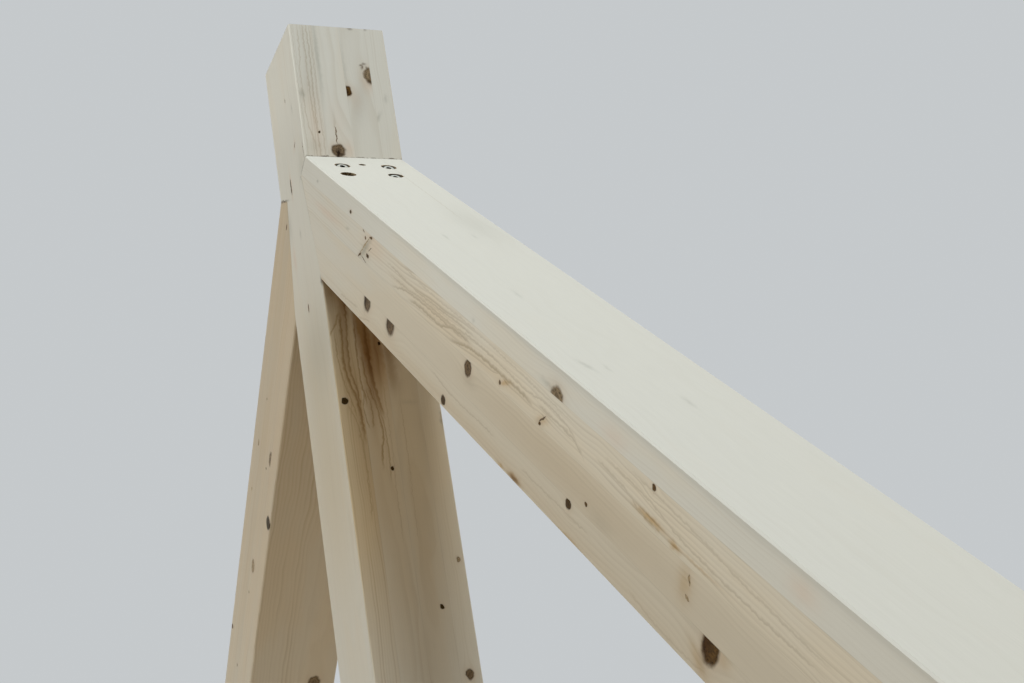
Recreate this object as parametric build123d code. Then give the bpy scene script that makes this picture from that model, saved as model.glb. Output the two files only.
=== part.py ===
"""Wooden roof truss: a hung king-post truss of glued laminated spruce, in millimetres.

Two rafters carry the head of the king post in notched joints, and their feet push into notches
in the tie beam. Timber screws hold the joints. X runs along the span, Y through the thickness and
Z up. The origin is the centre of the tie beam's underside.
"""
from build123d import *
import os
from math import cos, radians, sin, tan

# Timber: every member has the same square section, with its long edges eased
TIMBER = 160.0
EDGE_EASE = 2.0

# Outline of the truss
TIE_LENGTH = 6600.0
PITCH = 41.0
HEEL_SHEAR_LENGTH = 240.0
POST_HEAD = 240.0

# Notched joints: depth into the post and into the tie beam, and the play behind the bearing face
HEAD_NOTCH_DEPTH = 35.0
HEEL_NOTCH_DEPTH = 35.0
NOTCH_PLAY = 1.0

# Stub tenon under the king post, and its mortise in the tie beam
TENON_LENGTH = 100.0
TENON_WIDTH = 40.0
TENON_DEPTH = 40.0
TENON_PLAY = 0.5

# Washer-head screws: flat round head with a socket, plain shank and point
SHANK_DIAMETER = 8.0
WASHER_HEAD_DIAMETER = 22.0
WASHER_HEAD_THICKNESS = 4.0
SOCKET_WIDTH = 6.6
SOCKET_DEPTH = 3.0
SOCKET_SIDES = 6
POINT_LENGTH = 10.0
POINT_TIP_DIAMETER = 1.0

# Slim screw with a cylinder head, one in the middle of each head joint
SLIM_SHANK_DIAMETER = 6.0
SLIM_HEAD_DIAMETER = 9.0
SLIM_HEAD_THICKNESS = 6.0
SLIM_SOCKET_WIDTH = 4.6

# Room round a screw in its bore, and past its point
HEAD_CLEARANCE = 0.5
SHANK_CLEARANCE = 0.3
POINT_CLEARANCE = 4.0

# Head joint: two rows of two washer-head screws. They lean down the slope, away from square to
# the rafter's top, and each is driven to its own depth
SCREW_SPACING = 75.0
HEAD_SCREW_LEAN = 14.0
HEAD_ROW_1 = 60.0
HEAD_ROW_2 = 117.0
HEAD_ROW_1_SHIFT = -0.5
HEAD_ROW_2_SHIFT = -8.5
HEAD_ROW_1_SINKS = (1.2, 1.6)
HEAD_ROW_2_SINKS = (8.0, 2.6)
HEAD_SCREW_STOP = 12.0

# The slim screw sits above the first row and is sunk deep
SLIM_ROW = 49.0
SLIM_SHIFT = -3.0
SLIM_SINK = 14.0

# Heel joint: one row of two upright screws, with timber left below their points
HEEL_SCREW_SETBACK = 120.0
HEEL_SCREW_SINK = 3.0
HEEL_SCREW_COVER = 40.0

# Foot of the king post: two upright screws from below the tie beam
FOOT_SCREW_SINK = 20.0
FOOT_SCREW_GRIP = 160.0

# Places that follow from the sizes above, in the plane of the truss
half_timber = TIMBER / 2
slope = tan(radians(PITCH))
toe_x = TIE_LENGTH / 2 - HEEL_SHEAR_LENGTH
corner_z = TIMBER + (toe_x - half_timber) * slope
post_top_z = corner_z + POST_HEAD
upright_cut = TIMBER / cos(radians(PITCH))
level_cut = TIMBER / sin(radians(PITCH))
beyond = 2 * TIMBER

# The bearing face of each notch halves the blunt angle between the two members
head_bearing_slope = tan(radians((90 - PITCH) / 2))
heel_bearing_slope = tan(radians(PITCH / 2))


def head_notch(depth):
    """Outline of the head joint on the post's face: corner, bottom of the notch, lower end."""
    corner = (half_timber, corner_z)
    bottom = (half_timber - depth, corner_z - depth * head_bearing_slope)
    lower_end = (half_timber, corner_z - upright_cut)
    return [corner, bottom, lower_end]


def heel_notch(depth):
    """Outline of the heel joint on the tie beam's top: toe, bottom of the notch, inner end."""
    toe = (toe_x, TIMBER)
    bottom = (toe_x - depth * heel_bearing_slope, TIMBER - depth)
    inner_end = (toe_x - level_cut, TIMBER)
    return [toe, bottom, inner_end]


def slab(outline):
    """A block through the whole thickness of the truss, from an outline of (x, z) points."""
    face = make_face(Polyline([(x, 0, z) for x, z in outline], close=True))
    return extrude(face, amount=TIMBER, dir=(0, 1, 0), both=True)


def both_sides(solid):
    """The solid of the +X side and its twin, turned half round the post."""
    return [solid, Rot(0, 0, 180) * solid]


def eased_bar(length):
    """Square bar along X, centred on its own middle, with its four long edges eased."""
    bar = Box(length, TIMBER, TIMBER)
    return chamfer(bar.edges().filter_by(Axis.X), EDGE_EASE)


def rod_up(diameter, length):
    """Round rod on Z that stands on the origin."""
    return Pos(0, 0, length / 2) * Cylinder(diameter / 2, length)


def rod_down(diameter, length):
    """Round rod on Z that hangs from the origin."""
    return Pos(0, 0, -length / 2) * Cylinder(diameter / 2, length)


def washer_head_screw(length):
    """Screw with its seat at the origin, its head towards +Z and its shank towards -Z."""
    head = rod_up(WASHER_HEAD_DIAMETER, WASHER_HEAD_THICKNESS)
    return socketed_screw(head, WASHER_HEAD_THICKNESS, SOCKET_WIDTH, SHANK_DIAMETER, length)


def slim_screw(length):
    """Screw with a small cylinder head, placed like the washer-head screw."""
    head = rod_up(SLIM_HEAD_DIAMETER, SLIM_HEAD_THICKNESS)
    return socketed_screw(head, SLIM_HEAD_THICKNESS, SLIM_SOCKET_WIDTH, SLIM_SHANK_DIAMETER, length)


def socketed_screw(head, head_thickness, socket_width, shank_diameter, length):
    """Join a head, a plain shank and a point, and sink a six-sided socket in the head."""
    straight = length - POINT_LENGTH
    shank = rod_down(shank_diameter, straight)
    point = Cone(POINT_TIP_DIAMETER / 2, shank_diameter / 2, POINT_LENGTH)
    point = Pos(0, 0, -straight - POINT_LENGTH / 2) * point
    socket = extrude(RegularPolygon(socket_width / 2, SOCKET_SIDES), amount=SOCKET_DEPTH)
    return head + shank + point - Pos(0, 0, head_thickness - SOCKET_DEPTH) * socket


def screw_bore(head_diameter, shank_diameter, length, reach):
    """Room for a screw: a pocket for the head that runs out past the surface, and a shank bore."""
    pocket = rod_up(head_diameter + 2 * HEAD_CLEARANCE, reach)
    bore = rod_down(shank_diameter + 2 * SHANK_CLEARANCE, length + POINT_CLEARANCE)
    return pocket + bore


def rafter_top_point(down_slope):
    """Point (x, z) on the top of the +X rafter, this far down the slope from the post's face."""
    x = half_timber + down_slope * cos(radians(PITCH))
    z = corner_z - down_slope * sin(radians(PITCH))
    return x, z


def leaning_screw(down_slope, y, seat_depth):
    """Place a screw of the head joint, and give its length up to the post's middle."""
    lean = PITCH + HEAD_SCREW_LEAN
    x, z = rafter_top_point(down_slope)
    x -= seat_depth * sin(radians(lean))
    z -= seat_depth * cos(radians(lean))
    length = (x - HEAD_SCREW_STOP) / sin(radians(lean))
    return Location((x, y, z), (0, lean, 0)), length


def leaning_reach(head_diameter, seat_depth):
    """Length of a pocket that runs out of the rafter's top on the deep side of a leaning head."""
    deep_side = (head_diameter / 2 + HEAD_CLEARANCE) * tan(radians(HEAD_SCREW_LEAN))
    return 2 * (seat_depth + deep_side)


# Screws of one side, each with its place, its body and the bore that it needs
pair = (-SCREW_SPACING / 2, SCREW_SPACING / 2)
head_screws = []
head_bores = []
head_rows = [
    (HEAD_ROW_1, HEAD_ROW_1_SHIFT, HEAD_ROW_1_SINKS),
    (HEAD_ROW_2, HEAD_ROW_2_SHIFT, HEAD_ROW_2_SINKS),
]
for down_slope, shift, sinks in head_rows:
    for y, sink in zip(pair, sinks):
        seat_depth = WASHER_HEAD_THICKNESS + sink
        place, length = leaning_screw(down_slope, y + shift, seat_depth)
        reach = leaning_reach(WASHER_HEAD_DIAMETER, seat_depth)
        bore = screw_bore(WASHER_HEAD_DIAMETER, SHANK_DIAMETER, length, reach)
        head_screws.append(place * washer_head_screw(length))
        head_bores.append(place * bore)

slim_seat_depth = SLIM_HEAD_THICKNESS + SLIM_SINK
slim_place, slim_length = leaning_screw(SLIM_ROW, SLIM_SHIFT, slim_seat_depth)
slim_reach = leaning_reach(SLIM_HEAD_DIAMETER, slim_seat_depth)
slim_bore = screw_bore(SLIM_HEAD_DIAMETER, SLIM_SHANK_DIAMETER, slim_length, slim_reach)
middle_screw = slim_place * slim_screw(slim_length)
head_bores.append(slim_place * slim_bore)

heel_screw_x = toe_x - HEEL_SCREW_SETBACK
heel_surface_z = TIMBER + HEEL_SCREW_SETBACK * slope
heel_high_side = (WASHER_HEAD_DIAMETER / 2 + HEAD_CLEARANCE) * slope
heel_seat_z = heel_surface_z - heel_high_side - WASHER_HEAD_THICKNESS - HEEL_SCREW_SINK
heel_length = heel_seat_z - HEEL_SCREW_COVER
heel_reach = 2 * (heel_surface_z + heel_high_side - heel_seat_z)
heel_screws = []
heel_bores = []
for y in pair:
    place = Location((heel_screw_x, y, heel_seat_z))
    bore = screw_bore(WASHER_HEAD_DIAMETER, SHANK_DIAMETER, heel_length, heel_reach)
    heel_screws.append(place * washer_head_screw(heel_length))
    heel_bores.append(place * bore)

# Screws up into the foot of the king post, head down
foot_seat_z = WASHER_HEAD_THICKNESS + FOOT_SCREW_SINK
foot_length = TIMBER - foot_seat_z + FOOT_SCREW_GRIP
foot_screws = []
foot_bores = []
for y in pair:
    place = Location((0, y, foot_seat_z), (180, 0, 0))
    bore = screw_bore(WASHER_HEAD_DIAMETER, SHANK_DIAMETER, foot_length, 2 * foot_seat_z)
    foot_screws.append(place * washer_head_screw(foot_length))
    foot_bores.append(place * bore)

# Tie beam: eased bar with a notch near each end, and a mortise under the post
notch_in_tie = slab(heel_notch(HEEL_NOTCH_DEPTH + NOTCH_PLAY))
mortise_depth = TENON_DEPTH + TENON_PLAY
mortise = Box(TENON_LENGTH + 2 * TENON_PLAY, TENON_WIDTH + 2 * TENON_PLAY, mortise_depth)
mortise = Pos(0, 0, TIMBER - mortise_depth / 2) * mortise
tie_beam = Pos(0, 0, half_timber) * eased_bar(TIE_LENGTH)
tie_beam -= both_sides(notch_in_tie) + [mortise] + foot_bores
for bore in heel_bores:
    tie_beam -= both_sides(bore)

# King post: eased bar on end, with a notch for each rafter and a stub tenon below
notch_in_post = slab(head_notch(HEAD_NOTCH_DEPTH + NOTCH_PLAY))
post_length = post_top_z - TIMBER
tenon = Pos(0, 0, TIMBER - TENON_DEPTH / 2) * Box(TENON_LENGTH, TENON_WIDTH, TENON_DEPTH)
king_post = Pos(0, 0, TIMBER + post_length / 2) * Rot(0, 90, 0) * eased_bar(post_length)
king_post += tenon
king_post -= both_sides(notch_in_post) + foot_bores
for bore in head_bores:
    king_post -= both_sides(bore)

# Rafter: eased bar along the slope, cut to the notches at the post and at the tie beam
head_end = head_notch(HEAD_NOTCH_DEPTH)
above_head = [(-beyond, corner_z + beyond), (half_timber, corner_z + beyond)]
below_z = corner_z - upright_cut - beyond
below_head = [(half_timber, below_z), (-beyond, below_z)]
post_side = slab(above_head + head_end + below_head)
heel_end = heel_notch(HEEL_NOTCH_DEPTH)
outside_heel = [(toe_x + beyond, -beyond), (toe_x + beyond, TIMBER)]
inside_x = toe_x - level_cut - beyond
inside_heel = [(inside_x, TIMBER), (inside_x, -beyond)]
tie_side = slab(outside_heel + heel_end + inside_heel)
slope_length = (toe_x - half_timber) / cos(radians(PITCH))
middle_x, middle_z = rafter_top_point(slope_length / 2)
middle_x -= half_timber * sin(radians(PITCH))
middle_z -= half_timber * cos(radians(PITCH))
rafter = Location((middle_x, 0, middle_z), (0, PITCH, 0)) * eased_bar(slope_length + 2 * beyond)
rafter -= [post_side, tie_side] + head_bores + heel_bores

# One file for each piece
os.makedirs("parts", exist_ok=True)
pieces = {"tie_beam": tie_beam, "king_post": king_post}
for number, screw in enumerate(foot_screws, 1):
    pieces[f"foot_screw_{number}"] = screw
for side, turn in (("right", 0), ("left", 180)):
    pieces[f"rafter_{side}"] = Rot(0, 0, turn) * rafter
    pieces[f"middle_screw_{side}"] = Rot(0, 0, turn) * middle_screw
    for number, screw in enumerate(head_screws, 1):
        pieces[f"head_screw_{side}_{number}"] = Rot(0, 0, turn) * screw
    for number, screw in enumerate(heel_screws, 1):
        pieces[f"heel_screw_{side}_{number}"] = Rot(0, 0, turn) * screw
for name, piece in pieces.items():
    export_step(piece, f"parts/{name}.step")
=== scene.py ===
import math
import bmesh
import bpy
from mathutils import Matrix, Vector


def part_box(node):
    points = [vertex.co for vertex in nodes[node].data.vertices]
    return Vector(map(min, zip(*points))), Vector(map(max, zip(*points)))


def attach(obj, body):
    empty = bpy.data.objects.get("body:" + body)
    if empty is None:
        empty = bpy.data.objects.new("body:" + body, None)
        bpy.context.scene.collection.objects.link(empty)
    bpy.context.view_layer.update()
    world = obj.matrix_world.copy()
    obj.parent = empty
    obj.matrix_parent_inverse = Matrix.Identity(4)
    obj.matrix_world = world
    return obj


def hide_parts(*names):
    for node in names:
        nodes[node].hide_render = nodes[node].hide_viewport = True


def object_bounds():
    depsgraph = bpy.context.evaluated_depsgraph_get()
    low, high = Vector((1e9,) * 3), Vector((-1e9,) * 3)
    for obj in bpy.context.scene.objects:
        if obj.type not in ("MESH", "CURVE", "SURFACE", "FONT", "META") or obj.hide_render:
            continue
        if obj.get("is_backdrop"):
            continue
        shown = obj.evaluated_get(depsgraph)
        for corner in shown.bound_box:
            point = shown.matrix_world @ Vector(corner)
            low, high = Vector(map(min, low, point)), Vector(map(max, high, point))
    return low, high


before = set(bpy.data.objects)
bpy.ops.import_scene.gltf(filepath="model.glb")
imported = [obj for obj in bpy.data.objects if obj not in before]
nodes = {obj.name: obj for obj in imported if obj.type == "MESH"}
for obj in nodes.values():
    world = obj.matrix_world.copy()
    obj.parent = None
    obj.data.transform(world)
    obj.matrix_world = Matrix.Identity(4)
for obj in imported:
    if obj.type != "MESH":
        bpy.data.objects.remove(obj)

cad_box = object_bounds()


# Camera. The photograph was taken from beside the right rafter, a little above eye height,
# looking up along the rafter to the head of the king post, with the camera rolled to the right.
photo_width = 1024
focal_length = 1517.0
film_width = 36.0
turn = math.radians(25.34)
rise = math.radians(19.68)
roll = math.radians(-9.90)
eye = Vector((2.0976, -0.7404, 1.6369))

ahead = Vector((-math.cos(turn) * math.cos(rise), math.sin(turn) * math.cos(rise), math.sin(rise)))
level_right = ahead.cross(Vector((0, 0, 1))).normalized()
level_up = level_right.cross(ahead)
view_right = level_right * math.cos(roll) + level_up * math.sin(roll)
view_up = level_up * math.cos(roll) - level_right * math.sin(roll)


def add_object(name, data):
    """A new object with its data, linked to the scene."""
    made = bpy.data.objects.new(name, data)
    bpy.context.scene.collection.objects.link(made)
    return made


camera_data = bpy.data.cameras.new("photo_view")
camera_data.sensor_fit = "HORIZONTAL"
camera_data.sensor_width = film_width
camera_data.lens = film_width * focal_length / photo_width
camera_data.clip_start = 0.05
camera_data.clip_end = 100
camera = add_object("photo_view", camera_data)
camera.matrix_world = Matrix.Translation(eye) @ Matrix((view_right, view_up, -ahead)).transposed().to_4x4()
bpy.context.scene.camera = camera


# Tie beam. A square timber of planed spruce, glued up from four boards that lie on each other.
# It has a notch near each end for a rafter's foot, and a mortise under the king post.
class Steps:
    """The steps of a node tree, with one plain call for each."""

    def __init__(self, tree):
        self.tree = tree
        self.nodes = tree.nodes

    def feed(self, socket, value):
        """Link a socket to another step's result, or set it to a plain value."""
        if isinstance(value, bpy.types.NodeSocket):
            self.tree.links.new(value, socket)
        else:
            socket.default_value = value

    def step(self, kind, *values, **settings):
        """Add a step with its settings, and feed the values to its sockets in their order."""
        step = self.nodes.new(kind)
        for name, value in settings.items():
            setattr(step, name, value)
        for socket, value in zip(step.inputs, values):
            self.feed(socket, value)
        return step

    def fill(self, step, values):
        """Feed a step's sockets by their names."""
        for name, value in values.items():
            self.feed(step.inputs[name], value)
        return step

    def number(self, operation, *values):
        return self.step("ShaderNodeMath", *values, operation=operation).outputs[0]

    def plus(self, first, second):
        return self.number("ADD", first, second)

    def minus(self, first, second):
        return self.number("SUBTRACT", first, second)

    def times(self, first, second, *added):
        """The product, with a number added to it if one is given."""
        return self.number("MULTIPLY_ADD" if added else "MULTIPLY", first, second, *added)

    def larger(self, first, second):
        return self.number("MAXIMUM", first, second)

    def vector(self, operation, *values):
        step = self.step("ShaderNodeVectorMath", *values, operation=operation)
        is_number = operation in ("DOT_PRODUCT", "LENGTH", "DISTANCE")
        return step.outputs["Value" if is_number else "Vector"]

    def combine(self, x, y, z):
        return self.step("ShaderNodeCombineXYZ", x, y, z).outputs[0]

    def separate(self, vector):
        return self.step("ShaderNodeSeparateXYZ", vector).outputs

    def fade(self, value, start, end, low=0.0, high=1.0):
        """Go smoothly from low to high as the value goes from start to end."""
        step = self.step("ShaderNodeMapRange", value, start, end, low, high)
        step.interpolation_type = "SMOOTHSTEP"
        return step.outputs[0]


class Finish(Steps):
    """The nodes of one finish, which is laid out in the piece's own place."""

    def __init__(self, name):
        self.material = bpy.data.materials.new(name)
        self.material.use_nodes = True
        super().__init__(self.material.node_tree)
        self.shader = self.nodes["Principled BSDF"]
        self.place = self.step("ShaderNodeTexCoord").outputs["Object"]

    def noise(self, place, scales, detail=2.0, roughness=0.5, shift=None):
        """Noise over a place that is first scaled each way, and then shifted if asked."""
        place = self.vector("MULTIPLY", place, scales)
        if shift is not None:
            place = self.vector("ADD", place, shift)
        step = self.step("ShaderNodeTexNoise", place)
        return self.fill(step, {"Scale": 1.0, "Detail": detail, "Roughness": roughness}).outputs

    def chance(self, value):
        """The same random number from 0 to 1 each time for the same value."""
        step = self.step("ShaderNodeTexWhiteNoise", noise_dimensions="1D")
        self.feed(step.inputs["W"], value)
        return step.outputs["Value"]

    def mix(self, share, first, second, blend="MIX"):
        step = self.step("ShaderNodeMix", share, data_type="RGBA", blend_type=blend)
        for socket, colour in ((step.inputs[6], first), (step.inputs[7], second)):
            self.feed(socket, (*colour, 1.0) if isinstance(colour, tuple) else colour)
        return step.outputs[2]

    def dim(self, colour, shade):
        return self.mix(1.0, colour, self.combine(shade, shade, shade), "MULTIPLY")

    def blend_numbers(self, share, first, second):
        step = self.step("ShaderNodeMix", share)
        self.feed(step.inputs[2], first)
        self.feed(step.inputs[3], second)
        return step.outputs[0]

    def ramp(self, value, stops):
        step = self.step("ShaderNodeValToRGB", value)
        points = step.color_ramp.elements
        while len(points) < len(stops):
            points.new(1.0)
        for point, (position, colour) in zip(points, stops):
            point.position = position
            point.color = (*colour, 1.0)
        return step.outputs[0]

    def curve(self, value, points):
        """A smooth line through (value, result) points, which stays level past its ends."""
        first, last = points[0][0], points[-1][0]
        low = min(result for _, result in points)
        height = max(max(result for _, result in points) - low, 0.001)
        scaled = [((given - first) / (last - first), (result - low) / height) for given, result in points]
        share = self.number("DIVIDE", self.minus(value, first), last - first)
        share.node.use_clamp = True
        step = self.step("ShaderNodeFloatCurve")
        self.feed(step.inputs["Value"], share)
        line = step.mapping.curves[0].points
        line[0].location = scaled[0]
        line[1].location = scaled[-1]
        for given, result in scaled[1:-1]:
            line.new(given, result)
        step.mapping.update()
        return self.times(step.outputs[0], height, low)

    def attribute(self, name):
        return self.step("ShaderNodeAttribute", attribute_name=name).outputs["Fac"]


# Colours of planed spruce, and of its knots from dead and dark to live and pale
EARLY_WOOD = (0.69, 0.660, 0.570)
WARM_WOOD = (0.71, 0.625, 0.480)
LATE_WOOD = (0.42, 0.335, 0.215)
KNOT_STOPS = (
    (0.0, (0.032, 0.019, 0.004)),
    (0.28, (0.086, 0.041, 0.007)),
    (0.5, (0.145, 0.098, 0.054)),
    (1.0, (0.430, 0.320, 0.180)),
)
KNOT_HALO = (0.56, 0.44, 0.31)
GLUE_LINE = (0.34, 0.27, 0.18)
# Pocket walls: crushed wood, and torn wood darkened with painted shade
CRUSHED_WOOD = (0.34, 0.25, 0.14)
TORN_WOOD_IN_PAINTED_SHADE = (0.070, 0.038, 0.018)
# Tints multiply the wood's colour; tan, umber, amber and grey also serve as painted shade where the code
# below says so
TINTS = {
    "figure": (1.0, 1.0, 1.0),
    "amber": (0.77, 0.62, 0.43),
    "tan": (1.0, 0.83, 0.61),
    "rosy": (1.0, 0.89, 0.83),
    "grey": (0.66, 0.66, 0.63),
    "umber": (0.42, 0.29, 0.16),
    "dark": (0.13, 0.085, 0.045),
}

# Millimetres: half the section, how deep a mark on a board's edge goes, and a place out of reach.
# Then one millimetre in metres.
HALF_TIMBER = 80.0
SKIN = 1.0
FAR_AWAY = 900.0
METRES = 0.001


class Timber(Finish):
    """A spruce timber's own directions, and the marks that are added to its finish."""

    def __init__(self, name, origin, along, across, deep, seams, boards):
        """Across goes through the stack of boards. Seams are where one board ends.

        A board is (pith across, pith deep, ring width, strength of its lines, warmth, shade, seed).
        """
        super().__init__(name)
        self.origin = Vector(origin)
        self.axes = (Vector(along), Vector(across), Vector(deep))
        millimetres = self.vector("SUBTRACT", self.place, self.origin)
        self.along, self.across, self.deep = [
            self.vector("DOT_PRODUCT", millimetres, axis / METRES) for axis in self.axes
        ]
        self.seams = seams
        self.board = 0.0
        self.shade = 0.0
        for seam in seams:
            self.board = self.plus(self.board, self.number("GREATER_THAN", self.across, seam))
        pith = (0.0, 0.0, 0.0)
        habit = (0.0, 0.0, 0.0)
        for number, (pith_across, pith_deep, ring, strength, warmth, shade, seed) in enumerate(boards):
            same = self.on_board(number)
            pith = self.vector("MULTIPLY_ADD", same, (pith_across, pith_deep, seed), pith)
            habit = self.vector("MULTIPLY_ADD", same, (ring, strength, warmth), habit)
            self.shade = self.times(same, shade, self.shade)
        self.pith_across, self.pith_deep, self.seed = self.separate(pith)
        self.ring, self.strength, self.warmth = self.separate(habit)
        self.pocket_bruise_and_shade = 0.0
        self.line = 0.0
        self.bend_across = 0.0
        self.bend_deep = 0.0
        self.knot_reach = FAR_AWAY
        self.knot_tone = 0.5
        self.tint = {kind: 0.0 for kind in TINTS}

        # An uneven outline for every knot and mark
        self.point = self.combine(self.along, self.across, self.deep)
        rough = self.noise(self.point, (0.13, 0.13, 0.13))["Color"]
        rough = self.vector("SUBTRACT", rough, (0.5, 0.5, 0.5))
        self.uneven = self.vector("MULTIPLY_ADD", rough, (5.5, 5.5, 5.5), self.point)

    def on_board(self, number):
        """1 on one board, and 0 on the others."""
        return self.number("COMPARE", self.board, float(number), 0.4)

    def face(self, number, side=0):
        """The flat face of an outer board, or the edge of a board on the greater (1) or lesser (-1)
        deep side. Its points are measured along and the other way, and far away on other boards."""
        away = self.minus(1.0, self.on_board(number))
        along, across, deep = self.separate(self.uneven)
        if side:
            out = self.times(self.deep, float(side))
            away = self.plus(away, self.number("LESS_THAN", out, HALF_TIMBER - SKIN))
        away = self.times(away, FAR_AWAY)
        return self.combine(along, across if side else deep, away)

    def reach(self, face, centre, sizes, angle=0.0):
        """How far a point is from a mark's centre, where 1 is the mark's edge."""
        if angle == 0.0:
            scale = (1 / sizes[0], 1 / sizes[1], 1.0)
            offset = (-centre[0] / sizes[0], -centre[1] / sizes[1], 0.0)
            return self.vector("LENGTH", self.vector("MULTIPLY_ADD", face, scale, offset))
        lean = math.radians(angle)
        first = Vector((math.cos(lean), math.sin(lean), 0)) / sizes[0]
        second = Vector((-math.sin(lean), math.cos(lean), 0)) / sizes[1]
        moved = self.vector("SUBTRACT", face, (centre[0], centre[1], 0.0))
        parts = (
            self.vector("DOT_PRODUCT", moved, first),
            self.vector("DOT_PRODUCT", moved, second),
            self.vector("DOT_PRODUCT", moved, (0.0, 0.0, 1.0)),
        )
        return self.vector("LENGTH", self.combine(*parts))

    def bell(self, squared):
        """1 in a mark's middle, about a third at its edge, and soon nothing past it."""
        return self.number("POWER", 0.37, squared)

    def add_tone(self, reach, tone):
        """Where this mark is nearer than all before it, its tone is the one that shows."""
        nearer = self.number("LESS_THAN", reach, self.knot_reach)
        self.knot_tone = self.blend_numbers(nearer, self.knot_tone, tone)
        self.knot_reach = self.number("MINIMUM", self.knot_reach, reach)

    def bend_grain(self, face, centre, sizes):
        """Bend the growth rings round a knot."""
        wide = (2.4 * sizes[0] + 9.0, 1.5 * sizes[1] + 5.0)
        scale = (1 / wide[0], 1 / wide[1], 1.0)
        offset = (-centre[0] / wide[0], -centre[1] / wide[1], 0.0)
        place = self.vector("MULTIPLY_ADD", face, scale, offset)
        near = self.bell(self.vector("DOT_PRODUCT", place, place))
        pull = self.minus(centre[1], self.across)
        self.bend_across = self.times(pull, near, self.bend_across)

    def knots(self, face, marks):
        """Knots on the edge of a board, as (along, across, half length, half width, tone)."""
        for along, across, half_length, half_width, tone in marks:
            centre = (along, across)
            sizes = (half_length, half_width)
            self.add_tone(self.reach(face, centre, sizes), tone)
            self.bend_grain(face, centre, sizes)

    def slits(self, face, marks):
        """Resin slits and small dark marks on any face, with an angle at the end where they lean."""
        for along, other, half_length, half_width, tone, *angle in marks:
            self.add_tone(self.reach(face, (along, other), (half_length, half_width), *angle), tone)

    def tints_on(self, face, **kinds):
        """Soft patches of each tint, like slits, with a strength in place of the tone."""
        for kind, marks in kinds.items():
            for along, other, half_length, half_width, strength, *angle in marks:
                away = self.reach(face, (along, other), (half_length, half_width), *angle)
                near = self.bell(self.times(away, away))
                self.tint[kind] = self.times(near, strength, self.tint[kind])

    def strokes(self, face, lines):
        """Single dark growth lines as (half width, strength, points along and the other way)."""
        along, other, away = self.separate(face)
        here = self.number("LESS_THAN", away, 1.0)
        for half_width, strength, points in lines:
            from_line = self.minus(other, self.curve(along, points))
            soft_side = self.fade(from_line, -2.2 * half_width, 0.0)
            hard_side = self.fade(from_line, 0.0, half_width, strength, 0.0)
            tail = 0.15 * (points[-1][0] - points[0][0])
            begins = self.fade(along, points[0][0], points[0][0] + tail)
            ends = self.fade(along, points[-1][0] - tail, points[-1][0], 1.0, 0.0)
            shade = self.times(self.times(soft_side, hard_side), here)
            shade = self.times(shade, self.times(begins, ends))
            self.line = self.larger(self.line, shade)

    def drift(self, number, points):
        """Let one board's grain wander across, as (along, shift) points."""
        shift = self.times(self.curve(self.along, points), self.on_board(number))
        self.bend_across = self.minus(self.bend_across, shift)

    def pocket(self, point, axis, radius):
        """Bruised wall of a screw's pocket, darkened further with painted shade, round an axis through a
        point in metres.
        """
        here = Vector([(Vector(point) - self.origin).dot(way) for way in self.axes]) / METRES
        axis = Vector([Vector(axis).dot(way) for way in self.axes])
        apart = self.vector("SUBTRACT", self.point, here)
        from_axis = self.vector("LENGTH", self.vector("CROSS_PRODUCT", apart, axis))
        inside = self.fade(from_axis, radius + 0.2, radius + 0.8, 1.0, 0.0)
        self.pocket_bruise_and_shade = self.larger(self.pocket_bruise_and_shade, inside)

    def scattered_knots(self, shown=0.0):
        """Knots strewn over each board's faces, but not where shown is 1."""
        on_edge = self.number("GREATER_THAN", self.number("ABSOLUTE", self.deep), HALF_TIMBER - SKIN)
        middle = sum(self.seams) / len(self.seams)
        side = self.blend_numbers(on_edge, self.minus(self.across, middle), self.deep)
        side_seed = 17.0
        edge_seed = 41.0
        seed = self.times(self.number("SIGN", side), side_seed, self.seed)
        seed = self.times(on_edge, edge_seed, seed)
        other = self.blend_numbers(on_edge, self.deep, self.across)
        flat_cell = Vector((290.0, 120.0, 1.0))
        edge_cell = Vector((260.0, 36.0, 1.0))
        cell = self.vector("MULTIPLY_ADD", on_edge, edge_cell - flat_cell, flat_cell)
        place = self.vector("DIVIDE", self.combine(self.along, other, 0.0), cell)
        place = self.vector("ADD", place, self.combine(seed, seed, 0.0))
        strewn = self.step("ShaderNodeTexVoronoi", place, voronoi_dimensions="2D")
        self.fill(strewn, {"Scale": 1.0})
        apart = self.vector("SUBTRACT", place, strewn.outputs["Position"])
        apart = self.vector("MULTIPLY", apart, cell)
        wobble = self.vector("SUBTRACT", self.uneven, self.point)
        apart = self.separate(self.vector("ADD", apart, wobble))
        luck = self.separate(strewn.outputs["Color"])
        least = 2.0
        most = 13.0
        size = self.times(self.number("POWER", luck[0], 2.0), most - least, least)
        long_size = self.times(size, self.fade(luck[1], 0.0, 1.0, 1.0, 1.35))
        share_with_knot = 0.62
        away = self.plus(self.number("GREATER_THAN", luck[2], share_with_knot), shown)
        away = self.times(away, FAR_AWAY)
        along = self.number("DIVIDE", apart[0], long_size)
        wide = self.number("DIVIDE", apart[1], size)
        self.add_tone(self.vector("LENGTH", self.combine(along, wide, away)), luck[1])
        far = self.combine(self.times(along, 0.35), self.times(wide, 0.5), away)
        near = self.bell(self.vector("DOT_PRODUCT", far, far))
        pull = self.times(self.times(apart[1], near), -1.0)
        edge_pull = self.times(pull, on_edge)
        self.bend_across = self.plus(self.bend_across, edge_pull)
        self.bend_deep = self.plus(self.bend_deep, self.minus(pull, edge_pull))

    def grow(self, tilt=(0.006, 0.012), wander_by=20.0, quiet_to=-FAR_AWAY, quiet=1.0):
        """Lay the growth rings round each board's own pith, and finish the colour and surface."""
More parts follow.
